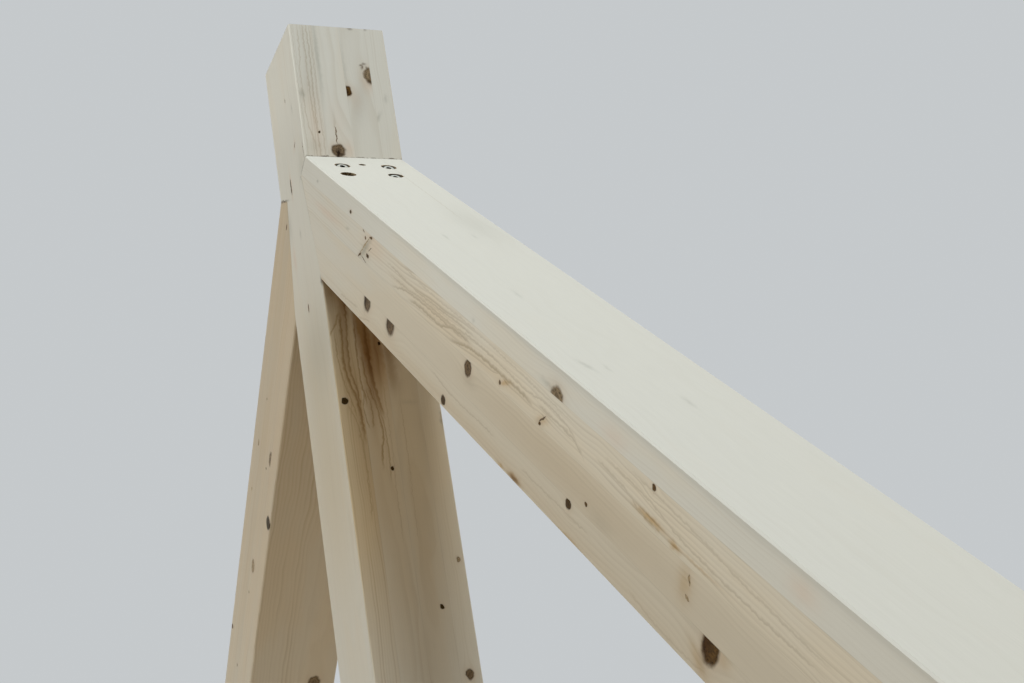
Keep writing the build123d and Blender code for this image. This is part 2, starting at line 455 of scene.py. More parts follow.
        # Rings: the distance from a pith that leans and wanders along the board
        slow = self.noise(self.combine(self.along, self.seed, 0.0), (0.0022, 1, 1), 1.0)["Color"]
        wander = self.vector("SUBTRACT", slow, (0.5, 0.5, 0.5))
        wander = self.vector("MULTIPLY", wander, (wander_by, wander_by, 0.0))
        lean = self.vector("MULTIPLY", self.combine(self.along, self.along, 0.0), (tilt[0], tilt[1], 0.0))
        pith = self.vector("ADD", self.combine(self.pith_across, self.pith_deep, 0.0), lean)
        pith = self.vector("ADD", pith, wander)
        across = self.plus(self.across, self.bend_across)
        deep = self.plus(self.deep, self.bend_deep)
        from_pith = self.vector("DISTANCE", self.combine(across, deep, 0.0), pith)
        place = self.combine(self.along, across, deep)
        wave = self.noise(place, (0.006, 0.020, 0.020), shift=self.combine(self.seed, 0.0, 0.0))[0]
        radius = self.times(wave, 14.0, from_pith)
        turns = self.number("DIVIDE", radius, self.ring)
        ring = self.number("FLOOR", turns)
        through = self.number("FRACT", turns)
        rising = self.fade(through, 0.2, 0.86)
        falling = self.fade(through, 0.84, 1.0, 1.0, 0.0)
        weight = self.chance(self.plus(ring, self.seed))
        weight = self.times(self.number("POWER", weight, 1.6), 0.85, 0.15)
        late = self.times(self.times(rising, falling), weight)

        # Fibres along the board, and slow changes of tone
        fibre_scales = (0.016, 0.9, 0.9)
        fibre = self.noise(place, fibre_scales, 3.0, 0.65)[0]
        cloud_shift = self.combine(0.0, 0.0, self.seed)
        cloud = self.noise(self.point, (0.0045, 0.022, 0.022), shift=cloud_shift)["Color"]
        cloud = self.separate(cloud)
        warm = self.plus(self.fade(cloud[0], 0.36, 0.66, -0.1, 0.3), self.warmth)
        patchy = self.fade(cloud[1], 0.35, 0.65, 0.45, 1.2)
        colour = self.mix(warm, EARLY_WOOD, WARM_WOOD)
        shade = self.times(fibre, 0.12, self.minus(self.shade, 0.06))
        colour = self.dim(colour, shade)
        strong = self.times(self.strength, patchy)
        marked = self.times(self.tint["amber"], 0.55, self.tint["figure"])
        strong = self.plus(strong, marked)
        on_quiet_face = self.number("LESS_THAN", self.across, quiet_to)
        strong = self.times(strong, self.blend_numbers(on_quiet_face, 1.0, quiet))
        share = self.times(late, strong)
        share.node.use_clamp = True
        share = self.larger(share, self.line)
        colour = self.mix(self.times(share, 0.82), colour, LATE_WOOD)
        for kind in ("amber", "tan", "rosy", "grey"):
            colour = self.mix(self.tint[kind], colour, TINTS[kind], "MULTIPLY")

        # Knots: a halo, a darker rim and an uneven core
        halo = self.minus(self.knot_reach, 1.0)
        halo = self.number("POWER", 0.16, self.larger(halo, 0.0))
        colour = self.mix(self.times(halo, 0.5), colour, KNOT_HALO)
        grit = self.noise(self.point, (0.40, 0.40, 0.40), 2.0, 0.6)[0]
        core = self.ramp(self.knot_tone, KNOT_STOPS)
        rings = self.number("SINE", self.times(self.knot_reach, 15.0))
        rings = self.times(rings, 0.14, self.times(grit, 1.5, 0.35))
        rim_start = self.times(grit, 0.6, 0.35)
        rim = self.fade(self.knot_reach, rim_start, 0.98, 1.0, 0.6)
        cracks = self.fade(grit, 0.34, 0.42, 0.5, 1.0)
        heart = self.fade(self.knot_reach, 0.0, 0.45, 0.7, 1.05)
        core = self.dim(core, self.times(self.times(self.times(rings, rim), cracks), heart))
        is_knot = self.fade(self.knot_reach, 0.80, 1.20, 1.0, 0.0)
        colour = self.mix(is_knot, colour, core)
        for kind in ("umber", "dark"):
            colour = self.mix(self.tint[kind], colour, TINTS[kind], "MULTIPLY")

        # Glue lines between the boards
        from_line = FAR_AWAY
        for seam in self.seams:
            from_seam = self.number("ABSOLUTE", self.minus(self.across, seam))
            from_line = self.number("MINIMUM", from_line, from_seam)
        line = self.fade(from_line, 0.15, 0.6, 1.0, 0.0)
        patchy = self.noise(self.combine(self.along, self.across, 0.0), (0.012, 1, 1))[0]
        patchy = self.fade(patchy, 0.38, 0.62, 0.15, 0.65)
        glue = self.times(line, self.times(patchy, 0.35))
        colour = self.mix(glue, colour, GLUE_LINE)
        # Pocket walls: crushed and torn wood, darkened further with painted shade inside the hole
        torn_wood_and_painted_shade = self.mix(self.fade(grit, 0.38, 0.54), TORN_WOOD_IN_PAINTED_SHADE, CRUSHED_WOOD)
        colour = self.mix(self.pocket_bruise_and_shade, colour, torn_wood_and_painted_shade)

        # Surface: fibres stand a little proud and glue lines lie a little deep
        raised = self.noise(self.point, fibre_scales, 3.0, 0.65)[0]
        height = self.times(line, -0.10, self.times(raised, 0.09))
        bump = self.step("ShaderNodeBump")
        self.fill(bump, {"Strength": 0.6, "Distance": 0.001, "Height": height})
        roughness = self.times(fibre, 0.12, 0.66)
        roughness = self.times(share, -0.06, roughness)
        self.fill(self.shader, {"Base Color": colour, "Normal": bump.outputs[0], "Roughness": roughness})
        self.fill(self.shader, {"Specular IOR Level": 0.08})
        return self.material


def dress(node, material):
    """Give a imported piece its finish."""
    nodes[node].data.materials.clear()
    nodes[node].data.materials.append(material)


tie_boards = (
    (-40.0, 130.0, 3.4, 0.55, 0.2, 0.96, 5.3),
    (60.0, -20.0, 3.1, 0.60, 0.1, 1.00, 22.6),
    (150.0, 90.0, 3.6, 0.50, 0.4, 0.97, 41.9),
    (230.0, -60.0, 3.2, 0.45, 0.2, 0.99, 57.2),
)
tie = Timber("spruce_tie_beam", (0, 0, 0), (1, 0, 0), (0, 0, 1), (0, 1, 0), (40.0, 80.0, 120.0), tie_boards)
tie.scattered_knots()


# King post. The same section on end, boards side by side. Its foot has a stub tenon in the tie
# beam and its head stands free above the rafters. The photograph shows two of its faces.
corner_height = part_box("rafter_right")[1].z
post_seams = (-42.0, 2.0, 47.0)
post_boards = (
    (-150.0, 62.0, 3.7, 0.45, -0.10, 0.98, 11.4),
    (-60.0, 210.0, 4.6, 0.16, -0.05, 0.98, 28.7),
    (25.0, 190.0, 5.0, 0.22, -0.12, 0.96, 45.1),
    (170.0, 60.0, 4.2, 0.20, -0.10, 0.97, 63.8),
)
post_place = ((0, 0, corner_height), (0, 0, 1), (0, 1, 0), (1, 0, 0))
post = Timber("spruce_king_post", *post_place, post_seams, post_boards)
front_1, front_2, front_3, front_4 = [post.face(number, 1) for number in range(4)]
post_side = post.face(0)

# Marks are placed from the height where the rafter's top meets the post
post.knots(front_1, ((-405, -69, 5, 5, 0.05),))
post.knots(front_2, (
    (12, -25, 11.5, 11.5, 0.50), (-511, -10, 3, 3, 0.1), (-315, -4, 3, 2.6, 0.1),
))
post.knots(front_3, ((121, 3, 9.5, 8, 0.27), (152, 47, 15, 12, 0.60)))
post.slits(front_1, ((43.5, -52.5, 2.2, 2.0, 0.0),))
post.slits(front_2, ((39, -25.5, 15, 0.8, 0.35, 2),))
post.slits(post_side, (
    (-6, -14, 14, 2.3, 0.0), (138, 11, 3.5, 1.2, 0.4), (45, 32, 5, 1.5, 0.45, 40),
    (16, 72, 16, 0.7, 0.35), (-222, -3, 7, 2.4, 0.35),
))
post.strokes(front_1, (
    (1.2, 0.50, ((-30, -60), (0, -60), (36, -63), (64, -69), (146, -70.5), (183, -67.5), (260, -65))),
    (1.3, 0.60, ((-30, -54), (0, -54), (64, -56.5), (114, -58.6), (177, -58), (260, -57.5))),
    (1.3, 0.65, ((20, -53), (64, -54), (114, -53), (177, -51), (260, -51))),
    (1.2, 0.50, ((-30, -47), (0, -46), (83, -47), (146, -46), (260, -45.5))),
    (0.9, 0.35, ((-30, -73), (60, -75), (150, -76), (260, -74))),
    (2.3, 1.2, ((-480, -45), (-431, -46), (-406, -49), (-380, -56), (-345, -62), (-303, -60), (-250, -59))),
    (1.8, 1.1, ((-430, -44), (-385, -48), (-349, -54), (-313, -53), (-277, -50), (-225, -49))),
    (1.2, 0.8, ((-440, -52), (-410, -57), (-375, -66), (-330, -71), (-290, -70))),
    (1.3, 0.6, ((-600, -52), (-520, -49), (-460, -51), (-420, -61), (-390, -74))),
    (1.8, 0.9, ((-304, -79), (-296, -75), (-280, -66), (-262, -60))),
))
# Below the rafters, the broad tan patches on the front are painted warm shade, and the umber patches that
# follow the rafter's lower edge near the joint are painted shade
post.tints_on(
    front_1,
    rosy=((50, -56, 80, 12, 0.5),),
    grey=(
        (112, -72, 7, 4, 0.7), (180, -54, 70, 14, 0.25), (120, -60, 32, 14, 0.2),
        (18, -62, 14, 12, 0.3),
    ),
    tan=((-480, -60, 330, 60, 0.8),),
    umber=(
        (-218, -68, 38, 14, 0.85), (-242, -50, 50, 9, 0.8), (-320, -57, 60, 5, 0.35),
        (-400, -48, 50, 4, 0.3),
    ),
    dark=((0, -60, 0.9, 34, 0.6),),
)
post.tints_on(
    front_2,
    grey=((185, -39, 75, 3.6, 0.7), (60, -25, 20, 2, 0.3)),
    tan=((-480, -20, 330, 60, 0.8),),
    umber=(
        (-275, -35, 60, 9, 0.85), (-318, -24, 75, 8, 0.9), (-305, -7, 64, 13, 0.9),
        (-420, -30, 40, 9, 0.2),
    ),
    amber=((-350, -24, 60, 20, 0.5), (-345, -6, 45, 10, 0.5)),
    dark=((4, -26, 11, 2.2, 0.95, 12), (7, -24, 7, 2.4, 0.8, -60), (0, -20, 0.9, 34, 0.6)),
    rosy=((14, -6, 16, 7, 0.7), (60, -20, 40, 14, 0.3)),
)
post.tints_on(
    front_3,
    tan=((-480, 25, 330, 60, 0.8),),
    umber=((-318, 9, 52, 12, 0.8), (-372, 10, 24, 10, 0.25)),
    grey=((-410, 30, 4, 13, 0.25), (160, 4, 50, 2.5, 0.35), (105, 22, 40, 12, 0.35, 10)),
    rosy=((137, 41, 18, 10, 0.7), (106, 18, 20, 10, 0.4)),
    dark=(
        (171, 33, 2.2, 2.4, 0.7), (173, 39, 1.8, 3.0, 0.6), (167, 35, 4.2, 1.8, 0.75, 20),
        (166, 42, 3.6, 1.6, 0.5, -20), (118, 4, 5, 3, 0.6), (140, 44, 5, 4, 0.7),
        (238.5, 22, 2.2, 4, 0.5), (0, 25, 0.9, 34, 0.75),
    ),
)
post.tints_on(
    front_4,
    tan=((-480, 60, 330, 60, 0.7),),
    grey=((75, 50, 9, 3, 0.6, 30), (110, 67, 7, 3, 0.5)),
    dark=((238.5, 48, 2.2, 3, 0.5), (0, 65, 1.1, 30, 0.95), (-438, 79, 14, 3, 0.5)),
)
post.tints_on(
    post_side,
    grey=(
        (107, 41, 9, 2.5, 0.6), (-98, 4, 7, 3, 0.5), (-430, 0, 230, 120, 0.35),
        (-300, 25, 70, 90, 0.35), (-60, -50, 22, 14, 0.4), (-5, 55, 26, 16, 0.35),
        (-114, 62.5, 110, 0.8, 0.12, -10.1), (-114, -62.5, 110, 0.8, 0.4, 10.1),
    ),
    tan=((-480, 0, 270, 120, 0.55),),
    rosy=((-120, -42, 22, 8, 0.7), (45, 30, 12, 6, 0.5, 40), (-6, -11, 18, 4, 0.8)),
    dark=((-7.5, 62.5, 23, 0.9, 0.8, 65.4), (-6.8, -62.5, 23, 1.4, 1.0, 114.6), (-211, 78, 7, 4, 0.7)),
)
post.strokes(front_2, (
    (1.6, 1.1, ((-420, -35), (-398, -36), (-380, -40), (-354, -41), (-318, -40), (-270, -38))),
    (1.2, 0.9, ((-452, -33), (-436, -39), (-416, -41), (-398, -38), (-384, -33))),
    (1.2, 0.9, ((-452, -33), (-434, -29), (-412, -29), (-396, -33), (-384, -33))),
    (1.7, 1.1, ((-520, -24), (-488, -22), (-457, -17), (-426, -19), (-395, -26), (-360, -32), (-320, -33))),
    (1.3, 0.8, ((-540, -15), (-467, -12), (-431, -15), (-401, -22), (-370, -27))),
    (3.0, 1.2, ((-440, -11), (-416, -14), (-385, -19), (-354, -22), (-323, -23), (-270, -23))),
    (1.0, 0.4, ((-640, -9), (-540, -8), (-470, -6), (-420, -6), (-360, -6))),
))
post.strokes(front_3, ((0.9, 0.45, ((-640, 14), (-560, 15), (-470, 17), (-390, 16))),))

# The post's near side is paler above the joint, and knots are strewn only out of sight
past_front = post.number("GREATER_THAN", post.deep, HALF_TIMBER - SKIN)
past_side = post.number("LESS_THAN", post.across, SKIN - HALF_TIMBER)
lowest_in_sight = -620.0
in_sight = post.number("GREATER_THAN", post.along, lowest_in_sight)
post.scattered_knots(post.times(in_sight, post.larger(past_front, past_side)))
lighter = post.times(post.fade(post.along, 30.0, 170.0, 0.0, 0.09), past_side)
post.shade = post.plus(post.shade, lighter)


# Rafters. Two like timbers that lean against the post, boards on each other. Their heads sit in
# its notches and their feet in the tie beam's, cut to halve the blunt angle between the timbers.
pitch = math.radians(41)
down = Vector((math.cos(pitch), 0, -math.sin(pitch)))
inward = Vector((-math.sin(pitch), 0, -math.cos(pitch)))
corner = Vector((HALF_TIMBER * METRES, 0, corner_height))
rafter_seams = (33.0, 77.0, 120.0)
# Boards lower on the side are set a little darker, which is painted shade
right_boards = (
    (190.0, 20.0, 4.0, 0.12, -0.25, 0.99, 23.5),
    (-60.0, 8.0, 4.2, 0.30, 0.30, 0.97, 39.2),
    (240.0, -20.0, 5.0, 0.10, 0.45, 0.95, 58.6),
    (40.0, 15.0, 4.6, 0.22, 0.40, 0.95, 71.1),
)
right = Timber("spruce_rafter_right", corner, down, inward, (0, 1, 0), rafter_seams, right_boards)

# Its colour is warmer, and paler near the top, once it has left the joint, which is painted light
below_head = right.fade(right.along, 150.0, 650.0)
below_head = right.times(below_head, right.fade(right.across, 1.0, 12.0))
warmer = right.times(below_head, right.fade(right.across, 25.0, 110.0, 0.3, 0.9))
right.warmth = right.plus(right.warmth, warmer)
lighter = right.times(below_head, right.fade(right.across, 48.0, 105.0, 0.14, -0.02))
right.shade = right.plus(right.shade, lighter)
right.drift(1, ((0, 0), (480, 0), (850, -14), (950, -14), (1400, 2), (1800, 2)))
side_1, side_2, side_3, side_4 = [right.face(number, -1) for number in range(4)]
right_top = right.face(0)

# Marks are placed down the slope from the post, and down from the top face
right.knots(side_1, ((962, 33, 14, 12, 0.66),))
right.knots(side_2, ((820, 69, 3.0, 2.7, 0.4), (931, 73, 3, 2, 0.3), (1175, 37, 3.7, 3.2, 0.32)))
right.knots(side_3, ((728, 86, 10.5, 10.5, 0.42), (1055, 108.5, 3.2, 2.4, 0.3)))
right.knots(side_4, (
    (355.5, 124, 13, 14.5, 0.45), (455, 124, 15, 15, 0.42), (665, 150, 7, 6, 0.1),
    (1019, 124.5, 6.5, 6, 0.12), (1305, 124, 14, 18, 0.30), (1415, 93, 16, 11, 0.3),
))
right.slits(side_1, ((247, 25, 4.6, 2.6, 0.14, -8),))
right.slits(side_2, (
    (312, 35, 4.5, 1.0, 0.4, 20), (322, 42, 3.5, 2.0, 0.3), (321, 54, 23, 1.0, 0.9, -42),
    (329, 46, 13, 0.8, 0.85, -38), (345, 36, 6.5, 1.9, 0.25, -15), (338, 64, 6.4, 3.5, 0.12),
    (304, 71, 7, 1.6, 0.3, -30), (322, 73, 11, 0.8, 0.5, 10), (345, 53, 7, 0.8, 0.5, -30),
    (936, 66, 9, 1.0, 0.5, -35),
))
right.slits(side_3, ((1256, 87, 5, 1.5, 0.85, 70), (1258, 104, 4, 1.5, 0.8, 20)))
right.strokes(side_2, (
    (1.6, 0.60, ((400, 49), (450, 50), (525, 52), (600, 50), (700, 46), (760, 45))),
    (1.3, 0.40, ((410, 35), (500, 37), (600, 40), (700, 38), (850, 40), (1050, 46))),
    (1.6, 0.60, ((405, 60), (475, 61), (550, 57), (650, 55), (750, 50), (860, 50))),
    (1.8, 0.70, ((432, 75), (460, 71), (500, 64), (550, 61), (605, 60), (720, 59))),
    (2.4, 0.80, ((502, 76), (550, 68), (623, 68), (650, 62), (683, 57), (740, 58))),
    (2.4, 0.85, ((645, 76), (697, 68), (717, 64), (750, 61), (850, 60), (883, 60), (917, 68), (925, 76))),
    (1.5, 0.50, ((700, 50), (800, 50), (900, 52), (940, 48), (980, 50), (1020, 60), (1046, 74))),
    (1.8, 0.55, ((915, 56), (960, 57), (1000, 58), (1030, 66), (1043, 73))),
    (1.5, 0.50, ((1050, 49), (1150, 51), (1250, 62), (1350, 65), (1480, 65))),
    (1.5, 0.45, ((1110, 39), (1250, 45), (1350, 52), (1480, 56))),
    (1.6, 0.50, ((1057, 57), (1133, 62), (1153, 68), (1200, 74))),
))
right.strokes(side_4, (
    (1.4, 0.50, ((600, 130), (633, 131), (700, 135), (800, 133), (840, 133))),
    (1.4, 0.45, ((890, 138), (1000, 136), (1080, 135))),
    (1.4, 0.45, ((1150, 146), (1200, 152), (1240, 154), (1320, 147))),
    (1.6, 0.50, ((230, 151), (270, 149), (320, 145))),
    (1.6, 0.55, ((320, 158), (345, 153), (375, 147))),
))
right.tints_on(
    side_1,
    grey=((75, 22, 4.5, 1.6, 0.9, -15), (728, 28, 4, 3, 0.4), (940, 27, 18, 3, 0.6)),
    dark=((960, 29, 8, 2.5, 0.4),),
    rosy=((1090, 24, 26, 10, 0.6), (1410, 18, 20, 10, 0.7)),
)
right.tints_on(
    side_2,
    rosy=((135, 56, 60, 7, 0.8), (360, 45, 40, 16, 0.6)),
    grey=((240, 51, 8, 2, 0.6, -10), (326, 55, 32, 5, 0.8, -39.6), (325, 62, 17, 16, 0.35)),
    amber=(
        (560, 55, 160, 20, 0.18), (833, 65, 16, 3, 0.7, -20), (780, 64, 130, 8, 0.22),
        (1178, 67, 27, 3.6, 1.1), (1224, 71, 9, 3.5, 1.0), (1266, 70, 36, 1.6, 0.5),
        (936, 68, 14, 5, 0.6, -20),
    ),
    figure=((610, 50, 190, 20, 0.5), (1200, 52, 260, 18, 0.3)),
)
right.tints_on(
    side_3,
    amber=((990, 98, 270, 26, 0.28), (1250, 95, 12, 16, 0.5)),
    grey=((735, 100, 20, 6, 0.3), (1090, 112, 26, 9, 0.25)),
)
right.tints_on(
    side_4,
    figure=((245, 152, 110, 9, 0.6), (1100, 145, 300, 12, 0.25)),
    amber=(
        (888, 155, 16, 4, 1.0), (850, 156, 9, 3, 0.7), (1032, 158, 24, 3, 0.7),
        (1290, 146, 20, 7, 0.6, 30), (1325, 125, 12, 8, 0.5), (147, 158, 14, 3, 0.6),
        (700, 150, 500, 10, 0.25),
    ),
    dark=((346.5, 125, 5.5, 11, 0.9), (445, 124, 6, 10, 0.6), (888, 155, 12, 3, 0.35)),
    umber=((1297, 124, 6.5, 18, 0.8), (888, 155, 14, 4, 0.45)),
)
# The first, broad grey patch, where the top meets the post, is painted shade from the post
right.tints_on(right_top, grey=(
    (0, 0, 70, 110, 0.12), (400, 48, 90, 26, 0.22), (468, -20, 12, 2, 0.4), (462, 22, 10, 2, 0.3),
    (718, -24, 14, 3, 0.3), (958, -50, 16, 3, 0.45, 10), (968, -30, 10, 2, 0.3),
    (1067, 10, 14, 3, 0.35),
))
right.strokes(right_top, ((0.9, 0.30, ((-10, 43), (200, 41), (400, 38))),))
right_near = right.number("LESS_THAN", right.deep, SKIN - HALF_TIMBER)
right_up = right.number("LESS_THAN", right.across, SKIN)
farthest_in_sight = 1560.0
in_sight = right.number("LESS_THAN", right.along, farthest_in_sight)
right.scattered_knots(right.times(in_sight, right.larger(right_near, right_up)))

back = Matrix.Rotation(math.pi, 3, "Z")
# The rear rafter's boards are set darker, which is painted shade
left_boards = (
    (190.0, 30.0, 3.8, 0.40, 0.55, 0.84, 31.2),
    (-70.0, -10.0, 3.6, 0.50, 0.60, 0.82, 49.8),
    (230.0, 40.0, 4.4, 0.45, 0.65, 0.85, 66.3),
    (20.0, -60.0, 4.0, 0.50, 0.60, 0.86, 84.9),
)
left_place = (back @ corner, back @ down, back @ inward, (0, -1, 0))
left = Timber("spruce_rafter_left", *left_place, rafter_seams, left_boards)

# Painted shade: the rear rafter is darker and browner near the post, where the photograph shows it
painted_shade_reach = (left.along, 300.0, 1200.0)
left.tint["amber"] = left.fade(*painted_shade_reach, 0.2, 0.05)
left.tint["tan"] = left.fade(*painted_shade_reach, 0.35, 0.12)
left.shade = left.plus(left.shade, left.fade(*painted_shade_reach, 0.0, 0.10))
left.tints_on(left.face(0, 1), dark=((-8, 18, 22, 1.3, 0.9, 114.4),))
left.slits(left.face(1, 1), ((23, 50, 5, 2.4, 0.3),))
farthest_in_sight = 260.0
left.scattered_knots(left.number("LESS_THAN", left.along, farthest_in_sight))


# Screws. Washer-head timber screws of bright zinced steel, driven into round pockets: four lean
# in each head joint with a slim one sunk between them, two stand in each heel and two in the foot.
class ScrewTree(Steps):
    """A timber screw that grows from its own sizes, with its seat at the origin and its head up."""

    sides = 72
    turn_steps = 20

    def __init__(self, material):
        super().__init__(bpy.data.node_groups.new("timber_screw", "GeometryNodeTree"))
        self.sizes = {}
        group_input = self.nodes.new("NodeGroupInput")
        for name in (
            "Head Diameter", "Head Thickness", "Rim Height", "Socket Width", "Socket Depth",
            "Shank Diameter", "Core Diameter", "Thread Diameter", "Thread Pitch", "Thread Length",
            "Point Length", "Length",
        ):
            made = self.tree.interface.new_socket(name, in_out="INPUT", socket_type="NodeSocketFloat")
            self.sizes[name] = made.identifier
        self.tree.interface.new_socket("Screw", in_out="OUTPUT", socket_type="NodeSocketGeometry")
        self.size = {socket.name: socket for socket in group_input.outputs if socket.name}

        body = self.turned_body()
        thread = self.thread()
        join = self.step("GeometryNodeJoinGeometry", thread)
        self.feed(join.inputs[0], body)
        merge = self.step("GeometryNodeMergeByDistance", join.outputs[0])
        self.fill(merge, {"Distance": 0.004})
        realize = self.step("GeometryNodeRealizeInstances", merge.outputs[0])
        paint = self.step("GeometryNodeSetMaterial", realize.outputs[0])
        self.fill(paint, {"Material": material})
        self.step("NodeGroupOutput", paint.outputs[0])

    def share_of(self, size, share):
        return self.times(self.size[size], share)

    def grid(self, columns, rows):
        """A sheet of points, with its column and row shares from 0 to 1."""
        step = self.step("GeometryNodeMeshGrid", 1.0, 1.0, columns, rows)
        place = self.separate(self.step("GeometryNodeInputPosition").outputs[0])
        column = self.plus(place[0], 0.5)
        row = self.plus(place[1], 0.5)
        return step.outputs["Mesh"], column, row

    def choose(self, number, values):
        """One of the values, by its number."""
        step = self.step("GeometryNodeIndexSwitch", data_type="VECTOR")
        while len(step.index_switch_items) < len(values):
            step.index_switch_items.new()
        self.feed(step.inputs["Index"], number)
        for item, value in enumerate(values):
            self.feed(step.inputs[item + 1], value)
        return step.outputs[0]

    def wrap(self, mesh, angle, radius, height):
        """Wrap the sheet round the axis. Each point keeps its distance from it, and its side."""
        across = self.times(radius, self.number("COSINE", angle))
        other = self.times(radius, self.number("SINE", angle))
        for name, value in (("from_axis", radius), ("down_side", across)):
            keep = self.step("GeometryNodeStoreNamedAttribute", mesh, data_type="FLOAT", domain="POINT")
            self.fill(keep, {"Name": name, "Value": value})
            mesh = keep.outputs[0]
        move = self.step("GeometryNodeSetPosition", mesh)
        self.feed(move.inputs["Position"], self.combine(across, other, height))
        return move.outputs[0]

    def turned_body(self):
        """Head with a star socket, cone under it, smooth shank, threaded core and point."""
        head = self.share_of("Head Diameter", 0.5)
        socket = self.share_of("Socket Width", 0.44)
        shank = self.share_of("Shank Diameter", 0.5)
        core = self.share_of("Core Diameter", 0.5)
        top = self.size["Head Thickness"]
        rim = self.size["Rim Height"]
        floor = self.minus(top, self.size["Socket Depth"])
        rim_foot = self.minus(self.minus(top, 1.2), rim)
        length = self.times(self.size["Length"], -1.0)
        thread_top = self.plus(length, self.size["Thread Length"])
        point_top = self.plus(length, self.size["Point Length"])
        cone_top = self.times(shank, 0.6, self.times(head, 0.35))
        below = self.minus
        profile = (
            (0.0, floor, 0.0),
            (self.times(socket, 0.8), floor, 1.0),
            (socket, self.plus(floor, 0.3), 1.0),
            (socket, below(top, 0.35), 1.0),
            (self.plus(socket, 0.45), below(top, 0.05), 0.6),
            (self.times(head, 0.62), below(top, 0.10), 0.0),
            (self.times(head, 0.86), below(top, 0.42), 0.0),
            (below(head, 0.30), below(top, 0.80), 0.0),
            (head, below(top, 1.20), 0.0),
            (head, rim_foot, 0.0),
            (below(head, 0.35), below(rim_foot, 0.30), 0.0),
            (cone_top, below(rim_foot, 0.35), 0.0),
            (self.plus(shank, 0.5), -0.2, 0.0),
            (shank, -2.5, 0.0),
            (shank, thread_top, 0.0),
            (core, below(thread_top, 1.5), 0.0),
            (core, point_top, 0.0),
            (0.0, length, 0.0),
        )
        rows = len(profile)
        mesh, column, row = self.grid(self.sides + 1, rows)
        number = self.number("ROUND", self.times(row, rows - 1.0))
        picked = self.separate(self.choose(number, [self.combine(*point) for point in profile]))
        angle = self.times(column, 2 * math.pi)
        lobes = self.number("COSINE", self.times(angle, 6.0))
        lobes = self.times(self.times(lobes, picked[2]), 0.13)
        radius = self.times(picked[0], self.plus(lobes, 1.0))
        return self.wrap(mesh, angle, radius, picked[1])

    def thread(self):
        """A sharp ridge that winds up the core, and runs out at both ends."""
        threaded = self.minus(self.size["Thread Length"], 2.0)
        turns = self.number("DIVIDE", threaded, self.size["Thread Pitch"])
        columns = self.plus(self.number("ROUND", self.times(turns, self.turn_steps)), 1.0)
        mesh, column, row = self.grid(columns, 4)
        corner_number = self.number("ROUND", self.times(row, 3.0))
        section = self.separate(self.choose(corner_number, [(0, -1, 0), (1, 0, 0), (0, 1, 0), (0, -1, 0)]))
        starts = self.fade(column, 0.0, 0.06)
        ends = self.fade(column, 0.94, 1.0, 1.0, 0.0)
        tall = self.times(starts, ends)
        rise_of_thread = self.times(column, threaded)
        height = self.minus(self.plus(rise_of_thread, 1.0), self.size["Length"])
        half_foot = self.times(self.share_of("Thread Pitch", 0.17), tall)
        height = self.times(section[1], half_foot, height)
        from_tip = self.plus(height, self.size["Length"])
        sharp = self.fade(from_tip, 0.0, self.size["Point Length"])
        core = self.times(self.share_of("Core Diameter", 0.47), sharp)
        ridge = self.minus(self.share_of("Thread Diameter", 0.5), self.share_of("Core Diameter", 0.47))
        ridge = self.times(self.times(ridge, tall), sharp)
        radius = self.times(section[0], ridge, core)
        angle = self.times(self.times(column, turns), 2 * math.pi)
        return self.wrap(mesh, angle, radius, height)


def make_screw(name, tree, sizes, place):
    """Grow one screw from the tree as a plain mesh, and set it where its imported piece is."""
    blank = add_object(name + "_blank", bpy.data.meshes.new(name + "_blank"))
    grown = blank.modifiers.new("timber_screw", "NODES")
    grown.node_group = tree.tree
    for size, value in sizes.items():
        grown[tree.sizes[size]] = float(value)
    bpy.context.view_layer.update()
    seen = blank.evaluated_get(bpy.context.evaluated_depsgraph_get())
    mesh = bpy.data.meshes.new_from_object(seen)
    mesh.name = name + "_steel"
    blank.modifiers.remove(grown)
    bpy.data.objects.remove(blank)
    mesh.transform(place @ Matrix.Scale(METRES, 4))
    shell = bmesh.new()
    shell.from_mesh(mesh)
    bmesh.ops.recalc_face_normals(shell, faces=shell.faces)
    shell.to_mesh(mesh)
    shell.free()
    mesh.shade_smooth()
    mesh.set_sharp_from_angle(angle=math.radians(32))
    piece = add_object(name + "_steel", mesh)
    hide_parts(name)
    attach(piece, "root")


steel = Finish("zinced_steel")
from_axis = steel.attribute("from_axis")
cloudy = steel.noise(steel.place, (900.0, 900.0, 900.0), 3.0, 0.6)[0]
turned = steel.chance(steel.number("FLOOR", steel.times(from_axis, 3.0)))
dull = steel.fade(cloudy, 0.35, 0.7, 0.0, 0.5)
zinc = steel.mix(dull, (0.74, 0.73, 0.65), (0.50, 0.49, 0.42))

# Grease and painted shade darken the socket, and a painted dark reflection darkens one side of the rim, the
# side up the slope where a screw leans
in_socket = steel.fade(from_axis, 3.6, 4.6, 1.0, 0.0)
off_centre = steel.times(steel.attribute("down_side"), -0.16, from_axis)
painted_dark_rim = steel.fade(off_centre, 7.4, 9.0)
grease_and_painted_shade = steel.larger(in_socket, painted_dark_rim)
zinc = steel.mix(grease_and_painted_shade, zinc, (0.030, 0.028, 0.020))
roughness = steel.times(cloudy, 0.25, 0.22)
roughness = steel.times(turned, 0.08, roughness)
roughness = steel.times(grease_and_painted_shade, 0.4, roughness)
metal = steel.times(grease_and_painted_shade, -0.9, 1.0)
steel.fill(steel.shader, {"Base Color": zinc, "Roughness": roughness, "Metallic": metal})
steel.fill(steel.shader, {"Specular IOR Level": 0.15})
screw_tree = ScrewTree(steel.material)

